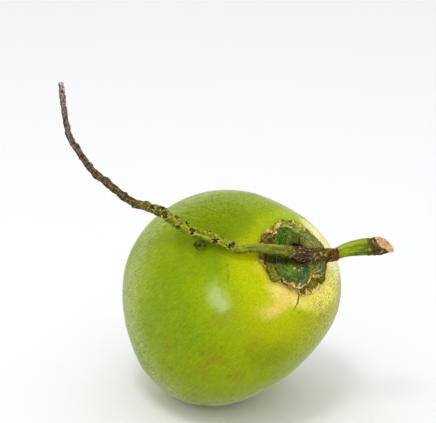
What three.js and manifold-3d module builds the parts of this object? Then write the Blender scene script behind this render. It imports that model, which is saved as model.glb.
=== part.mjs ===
// A young green coconut, cut from its bunch with the calyx on and the flower stalk that
// crosses the calyx. It lies on its side with the stem end up.
// Millimetres, +Z up, stem end toward -Y and +X; the origin is on the flat it rests on.
import * as THREE from "three";
import { mergeVertices } from "three/addons/utils/BufferGeometryUtils.js";
import Module from "manifold-3d";

// fruit
const HALF_LENGTH = 93.5; // stem end to tip, halved
const HALF_WIDTH = 84.5; // across the middle, halved
const BLUNTNESS = 0.16; // how square the ends are
const RIDGE = 0.071; // height of the three soft ridges, part of the half width
const RIDGE_AT = deg(76.5);
const OVAL = 0.02; // the section is a little wider one way
const OVAL_AT = deg(10);
const STEM_TILT = deg(38.5); // stem end above the level
const STEM_TURN = deg(-47.3); // stem end round from +X
const FRUIT_CENTRE = new THREE.Vector3(14.9, -6.5, 84.2);

// calyx: three petals next to the husk, three sepals over them
const GAP = 0.4;
const CALYX_HOLE = 8.4;
const LEAF_HALF_SPAN = deg(63);
const PETAL = { lift: GAP, rounding: 0.19, thick: 1.2, edge: 0.7, ramp: 1.3 };
const PETALS = [
  { at: deg(15), reach: 29, dome: 0 },
  { at: deg(135), reach: 28.6, dome: 0 },
  { at: deg(252), reach: 29.2, dome: 0 },
];
const SEPAL = { lift: 2.8, rounding: 0.33, thick: 1.5, edge: 0.7, ramp: 1.3 };
const SEPALS = [
  { at: deg(75), reach: 27, dome: 0 }, // pressed flat by the stalk
  { at: deg(200), reach: 21, dome: 2 },
  { at: deg(317), reach: 23.5, dome: 2 },
];

// stalk: x, y, z and radius along its middle, from the cut end to the dry tip
const STALK = [
  [144, -54.5, 150.7, 6.4],
  [133, -49.5, 147.5, 6.7],
  [123.5, -46.5, 144.5, 6.6],
  [114.5, -45.5, 143.2, 6.3],
  [105.5, -46.5, 142, 5.4],
  [96, -50, 140, 4.2],
  [86.5, -55.5, 141.5, 4.8],
  [77, -64, 144.5, 5],
  [67.5, -69.5, 147.6, 4.8],
  [52.5, -75, 152.6, 3.9],
  [37.5, -76, 154.3, 3.2],
  [30.5, -75.5, 154.2, 2.9],
  [22.5, -75, 153.2, 3.1],
  [15.5, -72, 154.5, 3.4],
  [8, -68.5, 157.5, 3.5],
  [-7, -62.5, 160.5, 3.6],
  [-22, -55, 165, 3.5],
  [-37, -44, 171.5, 3.3],
  [-60.5, -27, 174, 2.9],
  [-75, -14, 181, 2.7],
  [-91.5, 1, 189.5, 2.6],
  [-104, 15, 202.3, 2.5],
  [-110.1, 22, 209.4, 2.3],
  [-116.6, 42, 231.5, 2.1],
  [-119.2, 54.5, 245.3, 1.8],
];
// where a male flower sat: place along STALK, side (0 is the front, 90 degrees the top)
const SCARS = [
  [12.7, deg(35)],
  [14.15, deg(0)],
  [14.6, deg(90)],
  [15.3, deg(25)],
  [15.7, deg(95)],
  [15.9, deg(-5)],
  [16.2, deg(85)],
  [16.65, deg(20)],
  [16.95, deg(90)],
  [17.2, deg(35)],
  [17.45, deg(90)],
];
const SCAR_HEIGHT = 0.3;
const CUT_AT = new THREE.Vector3(133, -49.5, 147.5);
const CUT_FACES = new THREE.Vector3(0.5, -0.26, 0.82).normalize();
// the short neck that holds the fruit: radius and height off the husk
const NECK = [
  [7.2, 0.3],
  [6.6, 3.3],
  [4.2, 9.8],
];
const NECK_LEAN = new THREE.Vector3(2.6, -0.9, 0); // at its top, toward the stalk's middle

const BRACT = { from: 5, to: 5.75, side: deg(-15), span: deg(75), thick: 0.8 };
const BUD_TOP = new THREE.Vector3(-7, -64.5, 156.3);
const BUD_LEAN = deg(-20); // hangs a little forward
const BUD_OUTLINE = [
  [0, 0],
  [2, 0],
  [3.5, -1.6],
  [3.8, -3.4],
  [2.6, -5.6],
  [1, -6.9],
  [0, -7.2],
];

const wasm = await Module();
wasm.setup();

function deg(angle) {
  return (angle * Math.PI) / 180;
}

function weld(geometry) {
  geometry.deleteAttribute("normal");
  geometry.deleteAttribute("uv");
  return mergeVertices(geometry, 1e-4);
}

function solid(geometry) {
  const welded = weld(geometry);
  return new wasm.Manifold(
    new wasm.Mesh({
      numProp: 3,
      vertProperties: welded.attributes.position.array,
      triVerts: new Uint32Array(welded.index.array),
    }),
  );
}

function surface(manifold) {
  const mesh = manifold.getMesh();
  return new THREE.BufferGeometry()
    .setAttribute("position", new THREE.BufferAttribute(mesh.vertProperties, 3))
    .setIndex(new THREE.BufferAttribute(mesh.triVerts, 1));
}

function named(name, geometry, colour, roughness) {
  geometry.computeVertexNormals();
  const material = new THREE.MeshStandardMaterial({ color: colour, roughness, metalness: 0 });
  const mesh = new THREE.Mesh(geometry, material);
  mesh.name = name;
  return mesh;
}

// moves each vertex of a geometry to where `place` puts it
function reshape(geometry, place) {
  const position = geometry.attributes.position;
  const vertex = new THREE.Vector3();
  for (let i = 0; i < position.count; i++) {
    vertex.fromBufferAttribute(position, i);
    const moved = place(vertex, i);
    position.setXYZ(i, moved.x, moved.y, moved.z);
  }
  return geometry;
}

// the husk's skin, `down` from the stem end and `round` the stem, in the fruit's own frame
function skin(down, round) {
  const out = Math.sin(down);
  const along = Math.cos(down);
  const girth = HALF_WIDTH * out * (1 + BLUNTNESS * (along * along - 1 / 3));
  const ridges = RIDGE * Math.cos(3 * (round - RIDGE_AT)) + OVAL * Math.cos(2 * (round - OVAL_AT));
  const radius = girth * (1 + out * ridges);
  return new THREE.Vector3(
    radius * Math.cos(round),
    radius * Math.sin(round),
    HALF_LENGTH * along,
  );
}

// a point `height` off the skin
function off(down, round, height) {
  const step = 0.01;
  const here = skin(down, round);
  const lengthwise = skin(down + step, round).sub(here);
  const sideways = skin(down, round + step).sub(here);
  return here.add(lengthwise.cross(sideways).normalize().multiplyScalar(height));
}

function makeHusk(fruit) {
  const ball = new THREE.SphereGeometry(1, 60, 40);
  const turns = ball.attributes.uv;
  reshape(ball, (_, i) => skin((1 - turns.getY(i)) * Math.PI, (turns.getX(i) % 1) * 2 * Math.PI));
  const ground = new THREE.BoxGeometry(300, 300, 40)
    .translate(0, 0, -20)
    .applyMatrix4(fruit.matrixWorld.clone().invert());
  return named("husk", surface(solid(ball).subtract(solid(ground))), 0x8fa51c, 0.42);
}

// a thin closed leaf on the husk; each lies over one neighbour and under the other
function makeLeaf(name, sort, leaf, colour) {
  const sheet = new THREE.BoxGeometry(1, 1, 1, 14, 9, 1);
  reshape(sheet, (p) => {
    const side = -2 * p.x;
    const outward = p.y + 0.5;
    const ragged = 1 + 0.012 * Math.sin(9 * side + leaf.at) + 0.008 * Math.sin(23 * side);
    const rim = leaf.reach * (1 - sort.rounding * side * side) * ragged;
    const radius = CALYX_HOLE + (rim - CALYX_HOLE) * outward;
    const middle = 1 - side * side;
    const thick = sort.edge + (sort.thick - sort.edge) * middle * (1 - outward ** 3);
    const swell = leaf.dome * middle * middle * Math.sin(Math.PI * outward);
    const under = sort.lift + (sort.ramp * (side + 1)) / 2 + swell;
    const down = Math.asin(radius / HALF_WIDTH);
    return off(down, leaf.at + side * LEAF_HALF_SPAN, under + (p.z + 0.5) * thick);
  });
  return named(name, weld(sheet), colour, 0.6);
}

const stalkLine = new THREE.CatmullRomCurve3(
  STALK.map(([x, y, z]) => new THREE.Vector3(x, y, z)),
);

function stalkRadius(place, side) {
  const before = Math.min(Math.floor(place), STALK.length - 2);
  const plain = THREE.MathUtils.lerp(STALK[before][3], STALK[before + 1][3], place - before);
  const scars = SCARS.map(
    ([at, facing]) =>
      Math.exp(-(((place - at) / 0.2) ** 2)) * Math.max(0, Math.cos(side - facing)) ** 2,
  );
  return plain * (1 + SCAR_HEIGHT * Math.max(...scars));
}

// a point beside the stalk's middle line, `side` round it and `radius` from it
function beside(place, side, radius) {
  const t = place / (STALK.length - 1);
  const along = stalkLine.getTangent(t);
  const up = along.clone().cross(new THREE.Vector3(0, -1, 0)).normalize();
  const front = up.clone().cross(along);
  return stalkLine
    .getPoint(t)
    .addScaledVector(front, radius * Math.cos(side))
    .addScaledVector(up, radius * Math.sin(side));
}

function makeStalk(fruit) {
  const rings = (STALK.length - 1) * 5;
  const outline = [new THREE.Vector2(0, 0)];
  for (let ring = 0; ring <= rings; ring++)
    outline.push(new THREE.Vector2(1, ring / 5));
  outline.push(new THREE.Vector2(0, rings / 5));
  const rod = new THREE.LatheGeometry(outline, 12);
  reshape(rod, (p) => {
    const side = Math.atan2(-p.z, p.x);
    return beside(p.y, side, Math.hypot(p.x, p.z) * stalkRadius(p.y, side));
  });

  const rise = NECK[2][1];
  const neckLine = [[0, NECK[0][1]], ...NECK, [0, rise]];
  const neck = new THREE.LatheGeometry(
    neckLine.map(([radius, height]) => new THREE.Vector2(radius, height)),
    16,
  ).rotateX(Math.PI / 2);
  reshape(neck, (p) => p.clone().addScaledVector(NECK_LEAN, p.z / rise))
    .translate(0, 0, HALF_LENGTH)
    .applyMatrix4(fruit.matrixWorld);

  const sawn = new THREE.BoxGeometry(60, 60, 60)
    .translate(0, 0, 30)
    .applyQuaternion(
      new THREE.Quaternion().setFromUnitVectors(new THREE.Vector3(0, 0, 1), CUT_FACES),
    )
    .translate(...CUT_AT);
  const stalk = solid(rod).add(solid(neck)).subtract(solid(sawn));
  return named("stalk", surface(stalk), 0x7d8034, 0.7);
}

// the dry scale wrapped on the stalk's neck
function makeBract() {
  const scale = new THREE.BoxGeometry(1, 1, 1, 8, 10, 1);
  reshape(scale, (p) => {
    const place = THREE.MathUtils.lerp(BRACT.from, BRACT.to, p.x + 0.5);
    const side = BRACT.side - 2 * p.y * BRACT.span;
    const under = stalkRadius(place, side) + GAP;
    return beside(place, side, under + (p.z + 0.5) * BRACT.thick);
  });
  return named("dry_bract", weld(scale), 0x5a3326, 0.85);
}

// a withered male flower left hanging under the stalk
function makeBud() {
  const bud = new THREE.LatheGeometry(
    BUD_OUTLINE.map(([radius, z]) => new THREE.Vector2(radius, z)).reverse(),
    18,
  );
  reshape(bud, (p) => {
    const lobes = 1 + 0.12 * Math.cos(3 * Math.atan2(p.z, p.x));
    return new THREE.Vector3(p.x * lobes, p.y, p.z * lobes);
  });
  bud.rotateX(Math.PI / 2);
  const mesh = named("spent_flower", weld(bud), 0x4f5a24, 0.8);
  mesh.rotation.x = BUD_LEAN;
  mesh.position.copy(BUD_TOP);
  return mesh;
}

const coconut = new THREE.Group();
coconut.name = "green_coconut";

const fruit = new THREE.Group();
fruit.name = "fruit";
fruit.position.copy(FRUIT_CENTRE);
fruit.rotation.set(0, Math.PI / 2 - STEM_TILT, STEM_TURN, "ZYX");
coconut.add(fruit);
coconut.updateMatrixWorld(true);

fruit.add(makeHusk(fruit));
PETALS.forEach((leaf, i) => fruit.add(makeLeaf("petal_" + (i + 1), PETAL, leaf, 0x737b3a)));
SEPALS.forEach((leaf, i) => fruit.add(makeLeaf("sepal_" + (i + 1), SEPAL, leaf, 0x5c7030)));
coconut.add(makeStalk(fruit), makeBract(), makeBud());

export default coconut;
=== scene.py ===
from math import cos, pi, radians, sin

import bmesh
import bpy
import numpy as np
from mathutils import Matrix, Vector, kdtree, noise


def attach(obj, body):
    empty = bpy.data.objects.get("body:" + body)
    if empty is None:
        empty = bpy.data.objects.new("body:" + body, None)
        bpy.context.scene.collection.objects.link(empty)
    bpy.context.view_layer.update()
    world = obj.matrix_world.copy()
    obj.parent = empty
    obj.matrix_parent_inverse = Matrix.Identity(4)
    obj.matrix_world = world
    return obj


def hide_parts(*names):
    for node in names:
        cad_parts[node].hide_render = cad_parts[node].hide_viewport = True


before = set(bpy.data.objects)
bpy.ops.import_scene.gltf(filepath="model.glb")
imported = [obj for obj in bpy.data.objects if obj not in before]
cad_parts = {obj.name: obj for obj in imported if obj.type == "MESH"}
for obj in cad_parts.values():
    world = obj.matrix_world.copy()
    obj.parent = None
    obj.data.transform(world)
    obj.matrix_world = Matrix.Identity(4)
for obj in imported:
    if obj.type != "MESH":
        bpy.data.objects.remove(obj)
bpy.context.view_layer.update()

# ---- Husk --------------------------------------------------------------------------
# The fruit: a waxy green skin over a thick coat of fibre, an egg with three soft ridges.
# It grew this way, and it rests on the small flat under its belly. In its own frame +Z
# points to the stem; `down` is the angle from the stem end and `turn` the angle round it.
mm = 0.001
half_length = 93.5 * mm
half_width = 84.5 * mm
bluntness = 0.16  # how much fuller the ends are than an oval's
ridge_height, ridge_at = 0.071, radians(76.5)
oval_height, oval_at = 0.02, radians(10)
stem_tilt, stem_turn = radians(38.5), radians(-47.3)
husk_middle = (0.0149, -0.0065, 0.0842)  # from the middle of the flat it rests on
fruit_place = (
    Matrix.Translation(husk_middle)
    @ Matrix.Rotation(stem_turn, 4, "Z")
    @ Matrix.Rotation(pi / 2 - stem_tilt, 4, "Y")
)
husk_rows, husk_columns = 220, 330

# soft patches of colour on the skin: strength, colour, how many mm out they are full and
# gone, then a place in mm in the fruit's own frame, or the two ends of a line
green_patches = [
    (1.0, (122, 140, 2), 4, 24, (59, -35, 60)),
    (1.0, (180, 189, 2), 16, 58, (28, -20, 80)),  # yellow round the stem
    (1.0, (192, 201, 3), 26, 47, (4, -18, 90)),  # with a firm edge on the left
    (1.0, (166, 190, 4), 5, 20, (-20, -10, 87), (-28, 30, 82)),
    (0.6, (112, 134, 0), 6, 26, (-44, -30, 76)),  # deep green behind the twig
    # painted light: a brighter green pool round the window lamp's highlight
    (0.5, (160, 184, 4), 6, 34, (6, -61, 62)),
    # painted shade: a darker green patch on one flank
    (0.75, (122, 146, 2), 14, 40, (-52, -32, 63)),
]
warm_patches = [
    (0.7, (232, 216, 56), 0, 9, (-2, -30, 88), (12, -29, 88)),
    (0.8, (255, 236, 108), 0, 8, (28, -10, 89), (33, -3, 87)),
    (1.0, (255, 236, 124), 0, 12, (18, -26, 88), (28, -10, 89)),
    (0.85, (246, 216, 108), 0, 12, (25, -17, 88), (31, -38, 80)),  # the peach streak
]
# two ends, reach in mm and colour
cream_patches = [
    ((33, 6, 87), (38, 19, 83), 15, (255, 242, 104)),
    ((31, 27, 83), (-4, 45, 80), 26, (255, 242, 112)),
    ((12, 41, 83), (-18, 38, 83), 14, (255, 250, 176)),
]
bruises = [
    (45, -65, 35), (48, -47, 62), (17, -75, 0), (42, -66, 38), (45, -69, 18),
    (61, -53, 34), (21, -61, 61), (-45, 62, -10), (30, 70, -30),
]
# points along the fruit's rim as seen from the front, where the bloom and its painted rim sheen are thick
bloom_and_rim_sheen_ring = [
    (-60, 24, 60), (-77, -18, 44), (-67, -50, 7), (-39, -61, -36),
    (13, -70, -42), (62, -52, -35), (78, -10, 15),
]
split_top, split_bend, split_foot = (25.4, -6.2, 89.7), (33.7, -12.7, 86.2), (37, -15.5, 84.3)


def husk_skin(down, turn):
    """Points of the smooth skin, in the fruit's own frame."""
    out, along = np.sin(down), np.cos(down)
    girth = half_width * out * (1 + bluntness * (along**2 - 1 / 3))
    ridges = ridge_height * np.cos(3 * (turn - ridge_at)) + oval_height * np.cos(2 * (turn - oval_at))
    radius = girth * (1 + out * ridges)
    return np.stack([radius * np.cos(turn), radius * np.sin(turn), half_length * along], axis=-1)


def off_husk(down, turn, height):
    """Points of the fruit's frame that stand `height` off the skin."""
    step = 0.01
    here = husk_skin(down, turn)
    outward = np.cross(husk_skin(down + step, turn) - here, husk_skin(down, turn + step) - here)
    outward /= np.linalg.norm(outward, axis=-1, keepdims=True)
    return here + outward * np.asarray(height)[..., None]


def in_place(points):
    """Takes points from the fruit's own frame to the part's."""
    turned = np.array(fruit_place)
    return points @ turned[:3, :3].T + turned[:3, 3]


def grid(first, second):
    """Every pair of two lists of values, as two flat arrays."""
    return (side.ravel() for side in np.meshgrid(first, second, indexing="ij"))


def lumps(points, scale, octaves=3, fall=1.0):
    """Smooth noise from about -1 to 1 at each point; `scale` is in lumps a unit, and a
    `fall` below 1 leaves more of the small lumps."""
    return np.array([noise.fractal(Vector(p) * scale, fall, 2.0, octaves) for p in points])


def tube_faces(rings, columns):
    """Closes a tube of rings whose two tips are its last two points. The faces look out
    where each ring turns against its travel."""
    faces = []
    for ring in range(rings - 1):
        for column in range(columns):
            a = ring * columns + column
            b = ring * columns + (column + 1) % columns
            faces.append((a, a + columns, b + columns, b))
    last, tip = (rings - 1) * columns, rings * columns
    faces += [(tip, i, (i + 1) % columns) for i in range(columns)]
    faces += [(last + (i + 1) % columns, last + i, tip + 1) for i in range(columns)]
    return faces


def piece(name, points, faces, material):
    """A smooth mesh object that rides on the part's one body."""
    mesh = bpy.data.meshes.new(name)
    mesh.from_pydata([tuple(point) for point in points], [], faces)
    mesh.shade_smooth()
    mesh.materials.append(material)
    made = bpy.data.objects.new(name, mesh)
    bpy.context.collection.objects.link(made)
    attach(made, "root")
    return made


def note(made, **layers):
    """Stores values at the mesh's points for its material to read."""
    for name, values in layers.items():
        values = np.asarray(values, float)
        kind, key = ("FLOAT", "value") if values.ndim == 1 else ("FLOAT_VECTOR", "vector")
        layer = made.data.attributes.new(name, kind, "POINT")
        layer.data.foreach_set(key, values.ravel())


def tint(red, green, blue):
    """A paint colour from its 0 to 255 shades, as the shader wants it."""
    shades = np.array([red, green, blue]) / 255
    linear = np.where(shades <= 0.04045, shades / 12.92, ((shades + 0.055) / 1.055) ** 2.4)
    return (*(float(v) for v in linear), 1.0)


class Finish:
    """A material with one Principled shader, and short words for the nodes that feed it.
    Lengths are in metres, so the scale of a cloud or of dots counts its cells in a metre."""

    def __init__(self, name):
        self.material = bpy.data.materials.new(name)
        self.material.use_nodes = True
        self.tree = self.material.node_tree
        self.shader = self.tree.nodes["Principled BSDF"]

    def put(self, socket, value):
        """Feeds a socket from a node's output, or sets its value."""
        if isinstance(value, bpy.types.NodeSocket):
            self.tree.links.new(value, socket)
        else:
            socket.default_value = value

    def node(self, kind, inputs, output=0, **settings):
        """Adds a node and gives one of its outputs."""
        made = self.tree.nodes.new("ShaderNode" + kind)
        for name, value in settings.items():
            setattr(made, name, value)
        for key, value in inputs.items():
            self.put(made.inputs[key], value)
        return made.outputs[output]

    def place(self):
        """Coordinates in the part's own frame."""
        return self.node("TexCoord", {}, "Object")

    def layer(self, name, output="Fac"):
        """What `note` stored at the points."""
        return self.node("Attribute", {}, output, attribute_name=name)

    def cloud(self, where, scale, detail=3.0, roughness=0.55, output=0):
        inputs = {"Vector": where, "Scale": scale, "Detail": detail, "Roughness": roughness}
        return self.node("TexNoise", inputs, output)

    def dots(self, where, scale, inner, outer):
        """Round dots, one to a cell: 1 within `inner` of a cell's middle, 0 past `outer`."""
        away = self.node("TexVoronoi", {"Vector": where, "Scale": scale}, "Distance")
        return self.fade(away, outer, inner)

    def math(self, operation, first, second=0.0):
        return self.node("Math", {0: first, 1: second}, operation=operation)

    def times(self, first, second):
        return self.math("MULTIPLY", first, second)

    def most(self, *values):
        """The largest of several values."""
        largest = values[0]
        for value in values[1:]:
            largest = self.math("MAXIMUM", largest, value)
        return largest

    def sum(self, *terms):
        """Adds (value, share) pairs."""
        total = 0.0
        for value, share in terms:
            total = self.math("ADD", total, self.times(value, share))
        return total

    def vector(self, operation, first, second=(0, 0, 0), output=0):
        return self.node("VectorMath", {0: first, 1: second}, output, operation=operation)

    def scaled(self, vector, size):
        return self.node("VectorMath", {0: vector, "Scale": size}, operation="SCALE")

    def fade(self, value, start, end, low=0.0, high=1.0):
        """Runs smoothly from `low` where value is `start` to `high` where it is `end`."""
        inputs = {"Value": value, "From Min": start, "From Max": end, "To Min": low, "To Max": high}
        return self.node("MapRange", inputs, interpolation_type="SMOOTHSTEP")

    # in a colour Mix node, inputs 6 and 7 take the two colours and output 2 is the blend
    def mix(self, amount, below, above):
        return self.node("Mix", {0: amount, 6: below, 7: above}, 2, data_type="RGBA")

    def shaded(self, colour, amount):
        """Multiplies a colour by a grey amount."""
        inputs = {0: 1.0, 6: colour, 7: amount}
        return self.node("Mix", inputs, 2, data_type="RGBA", blend_type="MULTIPLY")

    def ramp(self, value, stops):
        """Colours along a value from 0 to 1."""
        made = self.tree.nodes.new("ShaderNodeValToRGB")
        elements = made.color_ramp.elements
        for position, _ in stops[2:]:
            elements.new(position)
        for element, (position, colour) in zip(elements, stops):
            element.position, element.color = position, colour
        self.put(made.inputs[0], value)
        return made.outputs[0]

    def wander(self, where, scale, reach):
        """Coordinates pushed about by a cloud, so that edges drawn with them waver."""
        push = self.vector("SUBTRACT", self.cloud(where, scale, output=1), (0.5, 0.5, 0.5))
        return self.vector("ADD", where, self.scaled(push, reach))

    def spot(self, where, centre, inner, outer):
        """1 within `inner` mm of a place on the fruit, falling to 0 at `outer`."""
        away = self.vector("DISTANCE", where, tuple(fruit_place @ (Vector(centre) * mm)), "Value")
        return self.fade(away, outer * mm, inner * mm)

    def stroke(self, where, start, end, inner, outer):
        """1 within `inner` mm of a line on the fruit, falling to 0 at `outer`."""
        start, end = (fruit_place @ (Vector(v) * mm) for v in (start, end))
        line = end - start
        offset = self.vector("SUBTRACT", where, tuple(start))
        along = self.vector("DOT_PRODUCT", offset, tuple(line / line.length_squared), "Value")
        along = self.node("Clamp", {"Value": along})
        beside = self.vector("SUBTRACT", offset, self.scaled(tuple(line), along))
        return self.fade(self.vector("LENGTH", beside, output="Value"), outer * mm, inner * mm)

    def patch(self, colour, where, strength, shade, inner, outer, start, end=None):
        """Paints a soft spot over a colour, or a stroke where an `end` is given."""
        mark = self.stroke(where, start, end, inner, outer) if end else self.spot(where, start, inner, outer)
        return self.mix(self.times(mark, strength), colour, tint(*shade))

    def bump(self, height, distance, strength=1.0):
        inputs = {"Height": height, "Distance": distance, "Strength": strength}
        self.put(self.shader.inputs["Normal"], self.node("Bump", inputs))

    def finish(self, **sockets):
        """Sets the shader's sockets, with _ for a space, and gives the material."""
        for name, value in sockets.items():
            self.put(self.shader.inputs[name.replace("_", " ")], value)
        return self.material


def husk_finish():
    skin = Finish("husk_skin")
    place = skin.place()
    loose = skin.wander(place, 40, 0.022)
    down = skin.layer("down")
    grain = skin.layer("grain", "Vector")

    colour = skin.mix(skin.fade(skin.cloud(loose, 13), 0.35, 0.65), tint(128, 158, 0), tint(149, 170, 0))
    belly = skin.fade(skin.vector("DOT_PRODUCT", place, (0, 0, 1), "Value"), 0.11, 0.02)
    colour = skin.mix(skin.times(belly, 0.5), colour, tint(140, 148, 2))
    for patch in green_patches:
        colour = skin.patch(colour, loose, *patch)

    # a paler flush on the right of the stem, cream in its middle, and warm skin where the
    # calyx rubbed
    flush = skin.stroke(skin.wander(place, 16, 0.04), (10, 50, 74), (50, 26, 66), 0, 46)
    colour = skin.mix(skin.times(flush, 0.65), colour, tint(196, 190, 38))
    pale = skin.times(flush, 0.6)
    uneven = skin.wander(loose, 90, 0.014)
    for start, end, reach, shade in cream_patches:
        cream = skin.stroke(uneven, start, end, 1, reach)
        colour = skin.mix(cream, colour, tint(*shade))
        pale = skin.most(pale, cream)
    for patch in warm_patches:
        colour = skin.patch(colour, loose, *patch)
    frayed = skin.wander(place, 110, 0.018)
    for centre in bruises:
        colour = skin.patch(colour, frayed, 0.25, (146, 108, 16), 0, 12, centre)

    # fine lengthwise grain and pores, coarser in the flush and in the ring of bloom and painted rim sheen
    streaks = skin.cloud(grain, 620, 3, 0.6)
    pores = skin.cloud(place, 900, 2, 0.6)
    away_from_stem = skin.fade(down, 0.1, 0.4)
    contrast = skin.times(skin.math("SUBTRACT", streaks, 0.5), away_from_stem)
    contrast = skin.sum((contrast, 0.8), (pores, 0.9), (1.0, -0.45))
    thick = skin.most(*(skin.stroke(loose, *ends, 0, 22) for ends in zip(bloom_and_rim_sheen_ring, bloom_and_rim_sheen_ring[1:])))
    coarse = skin.most(flush, thick, skin.stroke(loose, (-60, -20, 58), (-50, 20, 70), 10, 40))
    contrast = skin.times(contrast, skin.fade(coarse, 0, 1, 1.0, 2.5))
    colour = skin.shaded(colour, skin.math("ADD", contrast, 0.97))

    # a pale waxy bloom, partly a painted sheen of the pale surroundings on the rims; it is left off the
    # middle of the front and is thick in a ring round it
    front = skin.spot(loose, (8, -60, 58), 68, 110)
    bare_skin = skin.most(front, skin.spot(loose, (-25, 8, 87), 22, 46), pale)
    flaky = skin.sum((streaks, 0.2), (pores, 0.6), (skin.cloud(loose, 26), 0.33))
    bloom_and_rim_sheen = skin.times(skin.fade(flaky, 0.43, 0.68), skin.math("SUBTRACT", 1.0, bare_skin))
    bloom_and_rim_sheen = skin.times(bloom_and_rim_sheen, skin.fade(thick, 0, 1, 0.3, 0.54))
    colour = skin.mix(bloom_and_rim_sheen, colour, tint(187, 198, 162))

    # a dotted scratch, a short split under the calyx, fine dark specks, the brown seat
    scratch = skin.stroke(skin.wander(place, 90, 0.004), (-15, -47, 76), (0, -54, 72), 0.1, 1.2)
    dotted = skin.fade(skin.cloud(place, 420, 2), 0.46, 0.56)
    colour = skin.mix(skin.times(skin.times(scratch, dotted), 0.6), colour, tint(112, 88, 20))
    crooked = skin.wander(place, 200, 0.0025)
    split = skin.stroke(crooked, split_top, split_bend, 0.3, 1.1)
    tail = skin.stroke(crooked, split_bend, split_foot, 0.1, 1)
    split = skin.most(split, skin.times(tail, dotted))
    colour = skin.mix(split, colour, tint(88, 58, 16))
    rare = skin.fade(skin.cloud(place, 45, 2), 0.56, 0.68)
    specks = skin.times(skin.dots(place, 300, 0.1, 0.24), rare)
    right_side = skin.stroke(loose, (62, -4, 58), (34, 38, 74), 14, 32)
    fine = skin.times(skin.dots(place, 560, 0.2, 0.44), right_side)
    specks = skin.most(specks, fine)
    colour = skin.mix(skin.times(specks, 0.65), colour, tint(98, 84, 28))
    colour = skin.mix(skin.fade(down, 0.092, 0.078), colour, tint(92, 68, 30))

    relief = skin.sum((streaks, 1.2), (pores, 1.0), (skin.cloud(place, 120, 3), 1.4), (split, -2.0))
    skin.bump(relief, 0.0004, 0.2)
    return skin.finish(
        Base_Color=colour,
        Roughness=skin.sum((skin.cloud(place, 110, 4), 0.1), (bare_skin, -0.42), (1.0, 0.54)),
        Specular_IOR_Level=0.07,
        Sheen_Weight=0.5,
        Sheen_Roughness=0.22,
    )


def make_husk():
    downs = np.linspace(0, pi, husk_rows + 1)[1:-1]
    turns = np.linspace(0, 2 * pi, husk_columns, endpoint=False)
    down, turn = grid(downs, turns)
    cords = np.stack([14 * np.cos(turn), 14 * np.sin(turn), 3 * down], axis=-1)
    swell = (0.5 * lumps(husk_skin(down, turn), 28) + 0.1 * lumps(cords, 1, 1)) * mm
    points = off_husk(down, turn, swell)
    ends = np.array([0, pi])
    points = in_place(np.concatenate([points, husk_skin(ends, 0 * ends)]))
    points[:, 2] = np.maximum(points[:, 2], 0)

    husk = piece("husk_fruit", points, tube_faces(len(downs), husk_columns), husk_finish())
    down, turn = np.append(down, ends), np.append(turn, 0 * ends)
    grain = np.stack([np.cos(turn), np.sin(turn), down / 4], axis=-1) * half_width
    note(husk, down=down / pi, grain=grain)
    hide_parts("husk")


make_husk()

# ---- Petals ------------------------------------------------------------------------
# Three broad inner leaves of the calyx, pressed against the husk round the stem. Each
# lies over one neighbour and under the other; they are tough and green where they are
# covered, and dry to a thin brown torn rim.
calyx_hole = 7.3 * mm
leaf_half_span = radians(63)
leaf_rows, leaf_columns = 46, 110
# mm: the lift off the husk, how thick the middle and the edge are, how far one side ramps
# up over its neighbour and the rim curls; rounding is the share it draws in at the sides
petal = {"lift": 0.4, "rounding": 0.19, "thick": 1.2, "edge": 0.5, "ramp": 1.3, "curl": 0.9}


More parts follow.
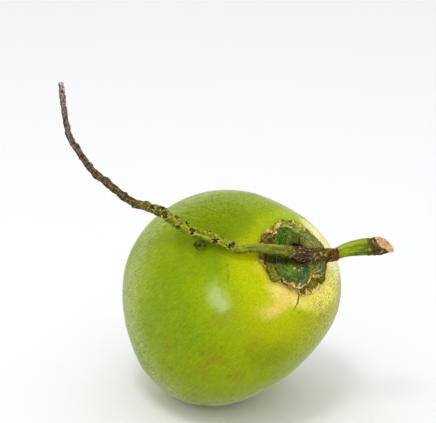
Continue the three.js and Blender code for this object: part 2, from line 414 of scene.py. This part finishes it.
def leaf_finish(name, light, dark, dry_from, dry_end, lined, gloss):
    """Green flesh to a dry rim, which starts about `dry_from` of the way out. Above 0,
    `dry_end` makes it wider at the +1 side of the leaf, and below 0 at the -1 side.
    `lined` is how plain the leaf's lines round the stem are, and `gloss` how wet it is."""
    leaf = Finish(name)
    place = leaf.place()
    outward = leaf.layer("outward")
    side = leaf.layer("side")
    flat = leaf.node("CombineXYZ", {"X": side, "Y": outward})
    fibres = leaf.cloud(leaf.vector("MULTIPLY", flat, (34, 2.2, 1)), 1, 3, 0.6)
    mottle = leaf.cloud(place, 150, 5, 0.7)
    fine = leaf.cloud(place, 620, 3, 0.6)
    bend = leaf.cloud(leaf.vector("MULTIPLY", flat, (2.2, 1.5, 1)), 1, 2)
    rings = leaf.math("SINE", leaf.sum((outward, 56.0), (bend, 28.0), (mottle, 9.0)))

    colour = leaf.mix(leaf.fade(mottle, 0.36, 0.62), tint(*dark), tint(*light))
    colour = leaf.shaded(colour, leaf.fade(rings, -0.8, 0.9, 1 - 0.4 * lined, 1 + 0.3 * lined))
    crests = leaf.times(leaf.fade(rings, 0.3, 1.0), leaf.fade(mottle, 0.4, 0.6))
    colour = leaf.mix(leaf.times(crests, 0.5 * lined), colour, tint(164, 168, 74))
    colour = leaf.shaded(colour, leaf.fade(fibres, 0.34, 0.66, 0.55 + 0.35 * lined, 1.4 - 0.3 * lined))
    colour = leaf.shaded(colour, leaf.fade(fine, 0.36, 0.64, 0.66, 1.32))
    foot = leaf.fade(leaf.sum((outward, 1.0), (mottle, 0.3)), 0.4, 0.16)
    colour = leaf.mix(foot, colour, tint(108, 84, 48))

    # the dry rim: tan and orange, cream in places, dark brown at the very edge
    ragged = leaf.sum((outward, 1.0), (mottle, 0.5), (fine, 0.12), (bend, 0.9), (side, 0.1 * dry_end))
    past = leaf.math("SUBTRACT", ragged, dry_from + 0.7)
    dry = leaf.fade(past, 0.06, 0.16)
    straw = leaf.mix(leaf.fade(leaf.cloud(place, 170, 3), 0.42, 0.6), tint(220, 170, 60), tint(252, 232, 148))
    straw = leaf.shaded(straw, leaf.fade(fine, 0.35, 0.65, 0.78, 1.2))
    colour = leaf.mix(dry, colour, straw)
    seam = leaf.times(leaf.fade(past, 0.01, 0.06), leaf.fade(past, 0.13, 0.08))
    colour = leaf.mix(leaf.times(seam, 0.65), colour, tint(78, 50, 16))
    frayed = leaf.fade(leaf.sum((outward, 1.0), (fine, 0.25), (mottle, 0.5), (bend, 0.2)), 1.43, 1.48)
    colour = leaf.mix(leaf.times(frayed, 0.7), colour, tint(84, 54, 18))
    spots = leaf.times(leaf.dots(place, 460, 0.1, 0.3), leaf.fade(mottle, 0.42, 0.55))
    colour = leaf.mix(leaf.times(spots, 0.75), colour, tint(48, 36, 16))

    # dark litter and painted shade where the stalk lies over the left of the calyx
    under_stalk = leaf.stroke(leaf.wander(place, 150, 0.005), (-11, -32, 89), (3, -15, 95), 1.2, 4)
    litter_and_shade = leaf.fade(leaf.sum((under_stalk, 1.0), (fine, 0.6), (mottle, 0.6)), 0.85, 1.05)
    colour = leaf.mix(leaf.times(litter_and_shade, 0.8), colour, tint(52, 40, 12))

    relief = leaf.sum((fibres, 0.4), (rings, 0.3), (mottle, 0.8), (fine, 0.5))
    leaf.bump(relief, 0.0009, 0.8)
    return leaf.finish(
        Base_Color=colour,
        Roughness=leaf.fade(dry, 0, 1, 0.3, 0.85),
        Specular_IOR_Level=0.07,
        Coat_Weight=gloss,
        Coat_Roughness=0.12,
    )


def sheet_faces(rows, columns):
    """Closes a sheet of two skins, each a grid of rows and columns. The first one faces
    along the cross product of a step to the next row and one to the next column."""
    count = rows * columns
    faces = []
    for row in range(rows - 1):
        for column in range(columns - 1):
            a = row * columns + column
            quad = (a, a + columns, a + columns + 1, a + 1)
            faces += [quad, tuple(count + i for i in reversed(quad))]
    outline = [row * columns for row in range(rows)]
    outline += [(rows - 1) * columns + column for column in range(1, columns)]
    outline += [row * columns + columns - 1 for row in range(rows - 2, -1, -1)]
    outline += list(range(columns - 2, 0, -1))
    for here, there in zip(outline, outline[1:] + outline[:1]):
        faces.append((here, count + here, count + there, there))
    return faces


def make_leaf(family, number, kind, at, reach, dome, look):
    """A thin closed leaf that follows the husk, torn along its rim."""
    outward, side = grid(np.linspace(0, 1, leaf_rows), np.linspace(-1, 1, leaf_columns))
    middle = 1 - side**2
    across = np.stack([6 * side, np.full_like(side, at), np.ones_like(side)], axis=-1)
    notches = np.maximum(lumps(across, 1.2, 2) - 0.3, 0)
    ragged = 0.05 * lumps(across, 0.8, 2) + 0.024 * lumps(across, 3.7, 2) - 0.2 * notches
    rim = reach * mm * (1 - kind["rounding"] * side**2) * (1 + ragged)
    down = np.arcsin((calyx_hole + (rim - calyx_hole) * outward) / half_width)
    turn = radians(at) + side * leaf_half_span
    thick = kind["edge"] + (kind["thick"] - kind["edge"]) * middle * (1 - outward**3)
    swell = dome * middle**2 * np.sin(pi * outward)
    curl = kind["curl"] * outward**8 * (1 + 1.2 * lumps(across, 1.4, 2))
    flesh = np.stack([7 * side, 2.4 * outward, np.full_like(side, at)], axis=-1)
    pucker = 0.3 * lumps(flesh, 1, 2) + 0.12 * lumps(flesh, 3.2, 2)
    under = kind["lift"] + kind["ramp"] * (side + 1) / 2 + swell + np.maximum(curl, 0)
    lower = off_husk(down, turn, under * mm)
    upper = off_husk(down, turn, (under + thick + np.maximum(pucker, -0.3)) * mm)

    node = f"{family}_{number}"
    material = leaf_finish(f"{family}_skin_{number}", *look)
    points = in_place(np.concatenate([upper, lower]))
    made = piece(f"{family}_leaf_{number}", points, sheet_faces(leaf_rows, leaf_columns), material)
    note(made, outward=np.tile(outward, 2), side=np.tile(side, 2))
    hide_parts(node)


# degrees round the stem and reach in mm, then light and dark flesh and the rest of the look
petals = [
    (15, 28.4, (138, 142, 0), (84, 92, 0), 0.84, -1.5, 0.3, 0),
    (135, 28.4, (180, 200, 72), (110, 134, 32), 0.87, 1.5, 0.9, 0),
    (252, 28.6, (142, 144, 34), (76, 76, 10), 0.85, -1, 0.4, 0),
]
for number, (at, reach, *look) in enumerate(petals, 1):
    make_leaf("petal", number, petal, at, reach, 0, look)

# ---- Sepals ------------------------------------------------------------------------
# Three smaller outer leaves, grown over the feet of the petals on the same stem. Two
# swell into green cushions beside the stalk; the third lies flat, dull and finely lined.
sepal = {"lift": 2.8, "rounding": 0.33, "thick": 1.5, "edge": 0.6, "ramp": 1.3, "curl": 0.3}

# degrees round the stem, reach and swelling in mm, then the look as for a petal
sepals = [
    (75, 27, 0, (168, 174, 80), (104, 106, 40), 0.88, -1, 1, 0),
    (200, 21, 2, (108, 136, 14), (50, 76, 0), 0.91, 1, 1, 0),
    (317, 23.2, 2, (100, 134, 2), (54, 84, 0), 0.84, 1, 0.45, 0.45),
]
for number, (at, reach, dome, *look) in enumerate(sepals, 1):
    make_leaf("sepal", number, sepal, at, reach, dome, look)

# ---- Stalk -------------------------------------------------------------------------
# One twig of the flower spray: a thick green foot with a brown collar, sawn across; a
# rough dry joint whose short neck holds the fruit; then a thinner knobbly length with a
# scar for each fallen male flower, dying back to a brown tip.

# x, y, z and radius in mm, from the sawn end; places along the stalk count these knots
stalk_knots = np.array([
    (144, -54.5, 150.7, 6.4),
    (133, -49.5, 147.5, 6.7),
    (123.5, -46.5, 144.5, 6.6),
    (114.5, -45.5, 143.2, 6.3),
    (105.5, -46.5, 142, 5.4),
    (96, -50, 140, 4.2),
    (86.5, -55.5, 141.5, 4.8),
    (77, -64, 144.5, 5),
    (67.5, -69.5, 147.6, 4.8),
    (52.5, -75, 152.6, 3.9),
    (37.5, -76, 154.3, 3.2),
    (30.5, -75.5, 154.2, 2.9),
    (22.5, -75, 153.2, 3.1),
    (15.5, -72, 154.5, 3.4),
    (8, -68.5, 157.5, 3.5),
    (-7, -62.5, 160.5, 3.6),
    (-22, -55, 165, 3.5),
    (-37, -44, 171.5, 3.3),
    (-60.5, -27, 174, 2.9),
    (-75, -14, 181, 2.7),
    (-91.5, 1, 189.5, 2.6),
    (-104, 15, 202.3, 2.5),
    (-110.1, 22, 209.4, 2.3),
    (-116.6, 42, 231.5, 2.1),
    (-119.2, 54.5, 245.3, 1.8),
])
rings_a_knot, stalk_columns = 36, 56
grain_round = 4 * mm  # the stalk's grain is laid on a rod of this radius

# place along the stalk, then how rough its bark is
bark_roughness = [
    (0, 1), (2.1, 1), (2.5, 0.12), (4.8, 0.12), (5.6, 0.5), (6.2, 1), (8.3, 1), (9, 0.4),
    (12, 0.45), (12.8, 0.85), (17, 0.9), (18, 0.9), (24, 0.8),
]
# place along the stalk, then its colour: the foot, the joint, the green length, the tip
bark_colours = [
    (0, (120, 90, 54)), (1.8, (120, 90, 50)), (2.35, (130, 150, 4)), (4.6, (146, 172, 3)),
    (5.4, (112, 92, 34)), (6.6, (118, 98, 46)), (7.2, (122, 96, 64)), (7.8, (80, 56, 48)),
    (8.3, (86, 66, 44)), (8.9, (126, 134, 20)), (11, (112, 118, 16)), (13, (160, 170, 18)),
    (15.2, (168, 182, 14)), (16.6, (128, 138, 14)), (17.8, (106, 84, 44)), (19.5, (116, 94, 62)),
    (22, (120, 98, 86)), (24, (190, 178, 166)),
]
# place along the stalk, degrees round it (0 is the front, 90 the top) and width in mm
scars = [
    (12.7, 35, 3.2), (14.15, 0, 3.0), (14.6, 90, 2.6), (15.3, 25, 2.8), (15.7, 95, 2.2), (15.9, -5, 2.6),
    (16.2, 85, 3.0), (16.65, 20, 3.0), (16.95, 90, 2.8), (17.2, 35, 2.8), (17.45, 90, 2.4),
    (13.4, 190, 2.6), (15.0, 200, 2.8), (16.4, 185, 2.6), (17.7, 200, 2.4),
    (17.8, 10, 2.0), (18.3, 75, 1.9), (18.8, 0, 1.8), (19.3, 80, 1.8), (19.7, -10, 1.7), (20.2, 80, 1.7),
    (20.6, 0, 1.6), (21.1, 90, 1.5), (22.0, 180, 1.5), (22.5, 0, 1.4), (23.0, 180, 1.4), (23.5, 10, 1.3),
]
saw_at = Vector((133, -49.5, 147.5)) * mm  # a place on the cut, and the way the cut looks
saw_faces = Vector((0.5, -0.26, 0.82)).normalized()
sawn_lip, sawn_dish = 0.35 * mm, 0.14 * mm  # rise of the first ring, drop of each next one
sawn_step = 0.1  # how much of its width each ring loses
neck = np.array([(0, 0.3), (7.6, 0.3), (6.6, 3.3), (4.6, 9.8), (0, 9.8)])  # radius, height in mm
neck_lean = np.array((2.6, -0.9, 0))
neck_rows, neck_columns = 34, 48


def stalk_line(where):
    """Points and directions along the middle of the stalk."""
    knots = stalk_knots[:, :3] * mm
    knots = np.concatenate([[2 * knots[0] - knots[1]], knots, [2 * knots[-1] - knots[-2]]])
    span = np.clip(np.floor(where).astype(int), 0, len(knots) - 4)
    t = (where - span)[:, None]
    p = [knots[span + i] for i in range(4)]
    gap = [np.sqrt(np.linalg.norm(p[i + 1] - p[i], axis=1))[:, None] for i in range(3)]
    leave = (p[1] - p[0]) / gap[0] - (p[2] - p[0]) / (gap[0] + gap[1]) + (p[2] - p[1]) / gap[1]
    arrive = (p[2] - p[1]) / gap[1] - (p[3] - p[1]) / (gap[1] + gap[2]) + (p[3] - p[2]) / gap[2]
    leave, arrive = leave * gap[1], arrive * gap[1]
    square = -3 * p[1] + 3 * p[2] - 2 * leave - arrive
    cube = 2 * p[1] - 2 * p[2] + leave + arrive
    points = p[1] + leave * t + square * t**2 + cube * t**3
    along = leave + 2 * square * t + 3 * cube * t**2
    return points, along / np.linalg.norm(along, axis=1, keepdims=True)


def beside_stalk(where, side, radius):
    """Points round the stalk: side 0 is its front and 90 degrees its top."""
    points, along = stalk_line(where)
    up = np.cross(along, (0, -1, 0))
    up /= np.linalg.norm(up, axis=1, keepdims=True)
    front = np.cross(up, along)
    return points + radius[:, None] * (front * np.cos(side)[:, None] + up * np.sin(side)[:, None])


def stalk_radius(where):
    return np.interp(where, range(len(stalk_knots)), stalk_knots[:, 3]) * mm


def bark_finish():
    bark = Finish("stalk_bark")
    place = bark.place()
    along = bark.layer("along")
    scar = bark.layer("scar")
    rough = bark.layer("rough")
    around = bark.layer("around", "Vector")
    cloud = bark.cloud(place, 150, 5, 0.65)
    fine = bark.cloud(place, 520, 4, 0.7)
    fibres = bark.cloud(bark.vector("MULTIPLY", around, (1, 1, 0.1)), 700, 3, 0.6)

    shift = bark.times(bark.math("SUBTRACT", cloud, 0.5), 1.6)
    tip = bark_colours[-1][0]
    stops = [(at / tip, tint(*shade)) for at, shade in bark_colours]
    colour = bark.ramp(bark.math("DIVIDE", bark.math("ADD", along, shift), tip), stops)
    colour = bark.shaded(colour, bark.fade(fibres, 0.38, 0.62, 0.5, 1.34))
    # painted shade: the bark darker towards its underside
    height = bark.node("SeparateXYZ", {"Vector": around}, "Y")
    colour = bark.shaded(colour, bark.fade(height, -0.0036, 0.0004, 0.42, 1.0))

    # the living length has a painted highlight along its top; the dead tip is speckled; both flake and pit
    living = bark.fade(bark.math("ADD", along, shift), 18.4, 17.0)
    painted_top_highlight = bark.times(bark.fade(height, 0.0024, 0.0036), bark.fade(rough, 0.7, 0.35))
    colour = bark.mix(bark.times(painted_top_highlight, 0.4), colour, tint(184, 186, 84))
    speckled = bark.shaded(colour, bark.fade(bark.cloud(place, 640, 2, 0.6), 0.4, 0.6, 0.5, 1.45))
    colour = bark.mix(living, speckled, colour)
    dark = bark.times(bark.fade(fine, 0.47, 0.6), rough)
    colour = bark.mix(bark.times(dark, 0.85), colour, tint(44, 40, 12))
    flakes = bark.times(bark.fade(bark.cloud(place, 360, 3), 0.55, 0.64), rough)
    flake = bark.mix(living, tint(150, 128, 112), tint(196, 192, 84))
    colour = bark.mix(bark.times(flakes, 0.6), colour, flake)

    # each scar: a broken pale rim round a dark, crumbly pit
    ragged_scar = bark.sum((scar, 1.0), (fine, 1.3), (cloud, 0.5), (1.0, -0.9))
    rim = bark.times(bark.fade(ragged_scar, 0.15, 0.35), bark.fade(ragged_scar, 0.55, 0.4))
    broken = bark.times(bark.fade(bark.cloud(place, 420, 2), 0.38, 0.54), living)
    colour = bark.mix(bark.times(rim, broken), colour, tint(206, 204, 96))
    pit = bark.fade(ragged_scar, 0.34, 0.52)
    crumb = bark.mix(bark.fade(bark.cloud(place, 700, 2), 0.46, 0.62), tint(34, 30, 8), tint(128, 116, 54))
    colour = bark.mix(pit, colour, crumb)

    relief = bark.sum((fibres, 0.6), (bark.times(fine, rough), 1.2), (cloud, 0.5))
    bark.bump(relief, 0.001, 0.8)
    roughness = bark.fade(rough, 0, 1, 0.42, 0.85)
    return bark.finish(Base_Color=colour, Roughness=roughness, Specular_IOR_Level=0.1)


def sawn_finish():
    wood = Finish("stalk_sawn")
    place = wood.place()
    hub = wood.layer("hub")
    cloud = wood.cloud(place, 420, 4, 0.65)
    colour = wood.mix(wood.fade(cloud, 0.35, 0.65), tint(192, 140, 86), tint(230, 194, 146))
    vessels = wood.dots(place, 620, 0.14, 0.34)
    colour = wood.mix(wood.times(vessels, 0.5), colour, tint(140, 88, 54))
    waver = wood.sum((hub, 1.0), (cloud, 0.3))
    band = wood.times(wood.fade(waver, 0.78, 0.84), wood.fade(waver, 0.98, 0.92))
    pits = wood.times(wood.dots(place, 330, 0.2, 0.42), band)
    colour = wood.mix(pits, colour, tint(74, 44, 18))
    colour = wood.mix(wood.fade(waver, 0.96, 1.04), colour, tint(228, 190, 120))
    wood.bump(wood.sum((cloud, 1.0), (vessels, -0.7), (pits, -1.0)), 0.0006, 0.8)
    return wood.finish(Base_Color=colour, Roughness=0.75, Specular_IOR_Level=0.2)


def twig():
    """The bark's points and faces, and what its material reads at each point."""
    spans = len(stalk_knots) - 1
    rings, columns = spans * rings_a_knot + 1, stalk_columns
    where, side = grid(np.linspace(0, spans, rings), np.linspace(0, -2 * pi, columns, endpoint=False))
    middle, _ = stalk_line(where)
    steps = np.linalg.norm(np.diff(middle[::columns], axis=0), axis=1)
    length = np.repeat(np.concatenate([[0], np.cumsum(steps)]), columns)
    radius = stalk_radius(where)
    rough = np.interp(where, *np.transpose(bark_roughness))

    ropy = np.stack([np.cos(side) * 1.3, np.sin(side) * 1.3, length * 120], axis=-1)
    frayed = 0.45 * lumps(ropy, 4.2, 3)
    scar = np.zeros_like(where)
    for at, facing, width in scars:
        turned = side - radians(facing)
        round_it = radius * np.abs(np.arctan2(np.sin(turned), np.cos(turned)))
        along_it = length - np.interp(at, where[::columns], length[::columns])
        away = np.hypot(along_it / 1.2, round_it) / (1.3 * width * mm) + frayed
        scar = np.maximum(scar, np.clip(1 - away, 0, 1))
    crater = np.interp(scar, [0, 0.25, 0.45, 0.6, 0.8, 1], [0, 0.6, 1.0, 0.85, 0.35, 0.2])

    grooves = np.stack([np.cos(side) * 3.2, np.sin(side) * 3.2, length * 25], axis=-1)
    bumps = lumps(ropy, 1.4, 4, 0.7) * (0.12 + 0.95 * rough) + 0.22 * lumps(grooves, 1, 2)
    radius = radius * (1 + 0.42 * crater) + bumps * mm * np.interp(where, [0, 17, 24], [1, 1, 0.8])
    tips, _ = stalk_line(np.array([0.0, spans]))
    points = np.concatenate([beside_stalk(where, side, radius), tips])
    around = np.stack([grain_round * np.cos(side), grain_round * np.sin(side), length], axis=-1)
    layers = {
        "along": np.append(where, [0, spans]),
        "rough": np.append(rough, [1, 1]),
        "scar": np.append(scar, [0, 0]),
        "around": np.concatenate([around, np.zeros((2, 3))]),
    }
    return points, tube_faces(rings, columns), layers


def spun(outline, steps, columns):
    """Radius, height and turn of points spun round an outline, at steps from 0 to 1."""
    reach = np.concatenate([[0], np.cumsum(np.linalg.norm(np.diff(outline, axis=0), axis=1))])
    radii, heights = (np.interp(steps * reach[-1], reach, values) for values in outline.T)
    height, turn = grid(heights, np.linspace(0, 2 * pi, columns, endpoint=False))
    return np.repeat(radii, columns), height, turn


def neck_plug():
    """The lumpy neck, which swells out of the joint down to the husk."""
    width, rise, turn = spun(neck, np.linspace(0.02, 0.98, neck_rows), neck_columns)
    points = np.stack([width * np.cos(turn), width * np.sin(turn), rise], axis=-1)
    points[:, :2] *= 1 + 0.09 * lumps(points, 0.45, 3)[:, None]
    foot, top = neck[0][1], neck[-1][1]
    points += neck_lean * (points[:, 2:] / top)
    ends = np.array([(0, 0, foot), (*neck_lean[:2], top + 0.2)])
    points = in_place((np.concatenate([points, ends]) + (0, 0, half_length / mm)) * mm)
    return points, [face[::-1] for face in tube_faces(neck_rows, neck_columns)]


def grow_together(stalk, stub):
    """Joins the neck to the stalk as one skin, and merges away the slivers at the seam."""
    union = stalk.modifiers.new("joined", "BOOLEAN")
    union.operation, union.solver, union.object = "UNION", "EXACT", stub
    bpy.context.view_layer.update()
    evaluated = stalk.evaluated_get(bpy.context.evaluated_depsgraph_get())
    stalk.data = bpy.data.meshes.new_from_object(evaluated)
    stalk.modifiers.clear()
    bpy.data.objects.remove(stub)
    mesh = bmesh.new()
    mesh.from_mesh(stalk.data)
    bmesh.ops.triangulate(mesh, faces=[face for face in mesh.faces if len(face.verts) > 4])
    bmesh.ops.remove_doubles(mesh, verts=mesh.verts, dist=0.1 * mm)
    bmesh.ops.dissolve_degenerate(mesh, edges=mesh.edges, dist=0.05 * mm)
    return mesh


def saw_across(mesh):
    """Saws the foot off: the cut face is rings that shrink to its middle, a little dished."""
    geometry = mesh.verts[:] + mesh.edges[:] + mesh.faces[:]
    cut = bmesh.ops.bisect_plane(mesh, geom=geometry, plane_co=saw_at, plane_no=saw_faces, clear_outer=True)
    rim = [edge for edge in cut["geom_cut"] if isinstance(edge, bmesh.types.BMEdge)]
    hub_layer = mesh.verts.layers.float.new("hub")
    rim_points = list(dict.fromkeys(vertex for edge in rim for vertex in edge.verts))
    centre = sum((vertex.co for vertex in rim_points), Vector()) / len(rim_points)
    for vertex in rim_points:
        vertex[hub_layer] = 1
    rise = sawn_lip
    for hub in np.arange(1 - sawn_step, sawn_step / 2, -sawn_step):
        grown = bmesh.ops.extrude_edge_only(mesh, edges=rim)["geom"]
        rim = [item for item in grown if isinstance(item, bmesh.types.BMEdge)]
        for vertex in {vertex for edge in rim for vertex in edge.verts}:
            vertex.co = centre + (vertex.co - centre) * hub / (hub + sawn_step)
            vertex.co += saw_faces * rise
            vertex[hub_layer] = hub
        for face in (item for item in grown if isinstance(item, bmesh.types.BMFace)):
            face.material_index = 1
        rise = -sawn_dish
    for face in bmesh.ops.contextual_create(mesh, geom=rim)["faces"]:
        face.material_index = 1


def make_stalk():
    points, faces, layers = twig()
    stalk = piece("stalk_twig", points, faces, bark_finish())
    stub = piece("stalk_neck", *neck_plug(), stalk.data.materials[0])
    mesh = grow_together(stalk, stub)
    saw_across(mesh)
    for face in mesh.faces:
        face.smooth = True
    bmesh.ops.recalc_face_normals(mesh, faces=mesh.faces)

    # points and faces are put in order, so that every run writes the same mesh
    for rank, vertex in enumerate(sorted(mesh.verts, key=lambda vertex: tuple(vertex.co))):
        vertex.index = rank
    mesh.verts.sort()
    for rank, face in enumerate(sorted(mesh.faces, key=lambda face: sorted(v.index for v in face.verts))):
        face.index = rank
    mesh.faces.sort()
    whole = stalk.data
    mesh.to_mesh(whole)
    mesh.free()
    whole.materials.append(sawn_finish())

    # the neck and the new points take their values from the nearest point of the twig
    for layer in list(whole.attributes):
        if layer.name in layers:
            whole.attributes.remove(layer)
    tree = kdtree.KDTree(len(points))
    for index, point in enumerate(points):
        tree.insert(point, index)
    tree.balance()
    nearest = np.array([tree.find(vertex.co)[1] for vertex in whole.vertices])
    note(stalk, **{name: values[nearest] for name, values in layers.items()})
    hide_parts("stalk")


make_stalk()

# ---- Dry bract ---------------------------------------------------------------------
# A small leathery scale, long dead, that wraps the stalk where its foot narrows. It is
# brittle, dark red-brown, and frayed at both ends.
bract_from, bract_to = 5.0, 5.75  # places along the stalk
bract_side, bract_span = radians(-15), radians(75)
bract_gap, bract_thick = 0.5 * mm, 0.7 * mm
bract_rows, bract_columns = 26, 44


def make_bract():
    scale = Finish("bract_dry")
    place = scale.place()
    cloud = scale.cloud(place, 260, 5, 0.7)
    colour = scale.mix(scale.fade(cloud, 0.4, 0.6), tint(60, 32, 14), tint(118, 72, 32))
    colour = scale.mix(scale.fade(scale.cloud(place, 420, 3), 0.6, 0.7), colour, tint(150, 128, 50))
    scale.bump(scale.cloud(scale.vector("MULTIPLY", place, (1, 3, 3)), 260, 4, 0.7), 0.001, 0.9)
    material = scale.finish(Base_Color=colour, Roughness=0.8, Specular_IOR_Level=0.1)

    u, v = grid(np.linspace(0, 1, bract_rows), np.linspace(-1, 1, bract_columns))
    fray = 0.12 * lumps(np.stack([5 * v, 0 * v + 3, 0 * v], axis=-1), 1, 3, 0.7)
    where = bract_from + (bract_to - bract_from) * (u + (2 * u - 1) * fray)
    side = bract_side + v * bract_span * (1 + 0.08 * np.sin(11 * u))
    crease = 0.22 * lumps(np.stack([3 * u, 6 * v, 0 * u], axis=-1), 1, 2)
    under = stalk_radius(where) + bract_gap + (crease + 0.5 * np.abs(v) ** 6) * mm
    skins = [beside_stalk(where, side, under), beside_stalk(where, side, under + bract_thick)]
    faces = sheet_faces(bract_rows, bract_columns)
    bract = piece("bract_scale", np.concatenate(skins), faces, material)
    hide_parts("dry_bract")


make_bract()

# ---- Spent flower ------------------------------------------------------------------
# A male flower that withered on the stalk: three shrunken dark green scales closed
# over a dry heart, hanging by its foot.
flower_top = Vector((-7, -64.5, 156.3)) * mm
flower_lean = radians(-20)
flower_rows, flower_columns = 40, 66
# radius and height in mm
flower_outline = np.array([(0, 0), (2, 0), (3.5, -1.6), (3.8, -3.4), (2.6, -5.6), (1, -6.9), (0, -7.2)])


def make_flower():
    dead = Finish("flower_dead")
    place = dead.place()
    cloud = dead.cloud(place, 300, 5, 0.7)
    colour = dead.mix(dead.fade(cloud, 0.44, 0.6), tint(40, 58, 8), tint(130, 148, 40))
    dead.bump(dead.cloud(dead.vector("MULTIPLY", place, (3, 3, 1)), 260, 4, 0.7), 0.001, 0.9)
    material = dead.finish(Base_Color=colour, Roughness=0.7, Specular_IOR_Level=0.1)

    steps = np.linspace(0, 1, flower_rows + 2)[1:-1]
    radius, height, turn = spun(flower_outline, steps, flower_columns)
    lobe = np.abs(np.cos(1.5 * turn + 0.15 * height)) ** 0.8
    crumple = lumps(np.stack([3.4 * np.cos(turn), 3.4 * np.sin(turn), 0.9 * height], axis=-1), 1, 3, 0.6)
    radius = radius * (0.66 + 0.5 * lobe + 0.5 * crumple)
    points = np.stack([radius * np.cos(turn), radius * np.sin(turn), height], axis=-1)
    ends = [(0, 0, flower_outline[0][1]), (0, 0, flower_outline[-1][1])]
    hang = Matrix.Translation(flower_top) @ Matrix.Rotation(flower_lean, 4, "X")
    points = [hang @ (Vector(point) * mm) for point in (*points, *ends)]
    flower = piece("flower_withered", points, tube_faces(flower_rows, flower_columns), material)
    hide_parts("spent_flower")


make_flower()

# ---- Studio ------------------------------------------------------------------------
# White paper under a white sky, a little dimmer behind the viewer. A lamp overhead gives
# the soft shadows; two more, seen only as reflections, leave the glints: a wide low one
# on the left and a small one high on the right.
paper_half = 6.0
camera_pitch = radians(20)
lamp_distance = 2.0
# name, way from the fruit, width and height in m, power in W and roll in degrees
lamps = [
    ("studio_ceiling", (-0.15, -0.35, 0.95), (0.5, 0.5), 9, 0),
    ("studio_window", (-0.585, -0.76, 0.25), (0.95, 0.42), 54, -8),
    ("studio_glint", (0.8, 0.08, 0.6), (0.3, 0.3), 7, 0),
]


def lay_paper():
    paper = Finish("studio_paper")
    place = paper.place()
    colour = paper.mix(paper.cloud(place, 3, 2), tint(250, 251, 253), tint(252, 253, 254))
    paper.bump(paper.cloud(place, 900, 2), 0.0002, 0.1)
    mesh = bpy.data.meshes.new("studio_floor")
    corners = [(x * paper_half, y * paper_half, 0) for x, y in ((-1, -1), (1, -1), (1, 1), (-1, 1))]
    mesh.from_pydata(corners, [], [(0, 1, 2, 3)])
    mesh.materials.append(paper.finish(Base_Color=colour, Roughness=0.9, Specular_IOR_Level=0.2))
    floor = bpy.data.objects.new("studio_floor", mesh)
    bpy.context.collection.objects.link(floor)


def light_sky():
    world = bpy.data.worlds.new("studio_sky")
    world.use_nodes = True
    nodes, links = world.node_tree.nodes, world.node_tree.links
    way = nodes.new("ShaderNodeTexCoord").outputs["Generated"]
    behind_viewer = nodes.new("ShaderNodeVectorMath")
    behind_viewer.operation = "DOT_PRODUCT"
    behind_viewer.inputs[1].default_value = (0, -cos(camera_pitch), sin(camera_pitch))
    height = nodes.new("ShaderNodeSeparateXYZ")
    strength = nodes.new("ShaderNodeMath")
    strength.operation = "MULTIPLY"
    links.new(way, behind_viewer.inputs[0])
    links.new(way, height.inputs[0])
    for index, value, kind, limits in (
        (0, behind_viewer.outputs["Value"], "SMOOTHSTEP", (0.35, 0.8, 1.0, 0.85)),
        (1, height.outputs["Z"], "LINEAR", (0.2, 0.95, 0.88, 0.93)),
    ):
        fade = nodes.new("ShaderNodeMapRange")
        fade.interpolation_type = kind
        for name, limit in zip(("From Min", "From Max", "To Min", "To Max"), limits):
            fade.inputs[name].default_value = limit
        links.new(value, fade.inputs["Value"])
        links.new(fade.outputs[0], strength.inputs[index])
    links.new(strength.outputs[0], nodes["Background"].inputs["Strength"])
    nodes["Background"].inputs["Color"].default_value = (1, 1, 1, 1)
    bpy.context.scene.world = world


def hang_lamps():
    target = fruit_place.translation
    for name, way, size, power, roll in lamps:
        lamp = bpy.data.lights.new(name, "AREA")
        lamp.shape = "RECTANGLE"
        lamp.size, lamp.size_y = size
        lamp.energy = power
        panel = bpy.data.objects.new(name, lamp)
        panel.location = target + Vector(way).normalized() * lamp_distance
        panel.rotation_euler = (target - panel.location).to_track_quat("-Z", "Y").to_euler()
        panel.rotation_euler.rotate_axis("Z", radians(roll))
        panel.visible_diffuse = name == "studio_ceiling"
        panel.visible_glossy = name != "studio_ceiling"
        bpy.context.collection.objects.link(panel)


lay_paper()
light_sky()
hang_lamps()

# ---- Camera ------------------------------------------------------------------------
# A long lens about a metre in front of the fruit, looking a little down on it, so that
# its near and far sides are drawn at almost the same size.
camera_at = (0.00665, -1.06341, 0.54274)
lens = bpy.data.cameras.new("camera")
lens.lens = 118.7
lens.sensor_width = 36
lens.clip_end = 50
camera = bpy.data.objects.new("camera", lens)
camera.location = camera_at
camera.rotation_euler = (pi / 2 - camera_pitch, 0, 0)
bpy.context.collection.objects.link(camera)
bpy.context.scene.camera = camera
bpy.context.scene.view_settings.view_transform = "Standard"
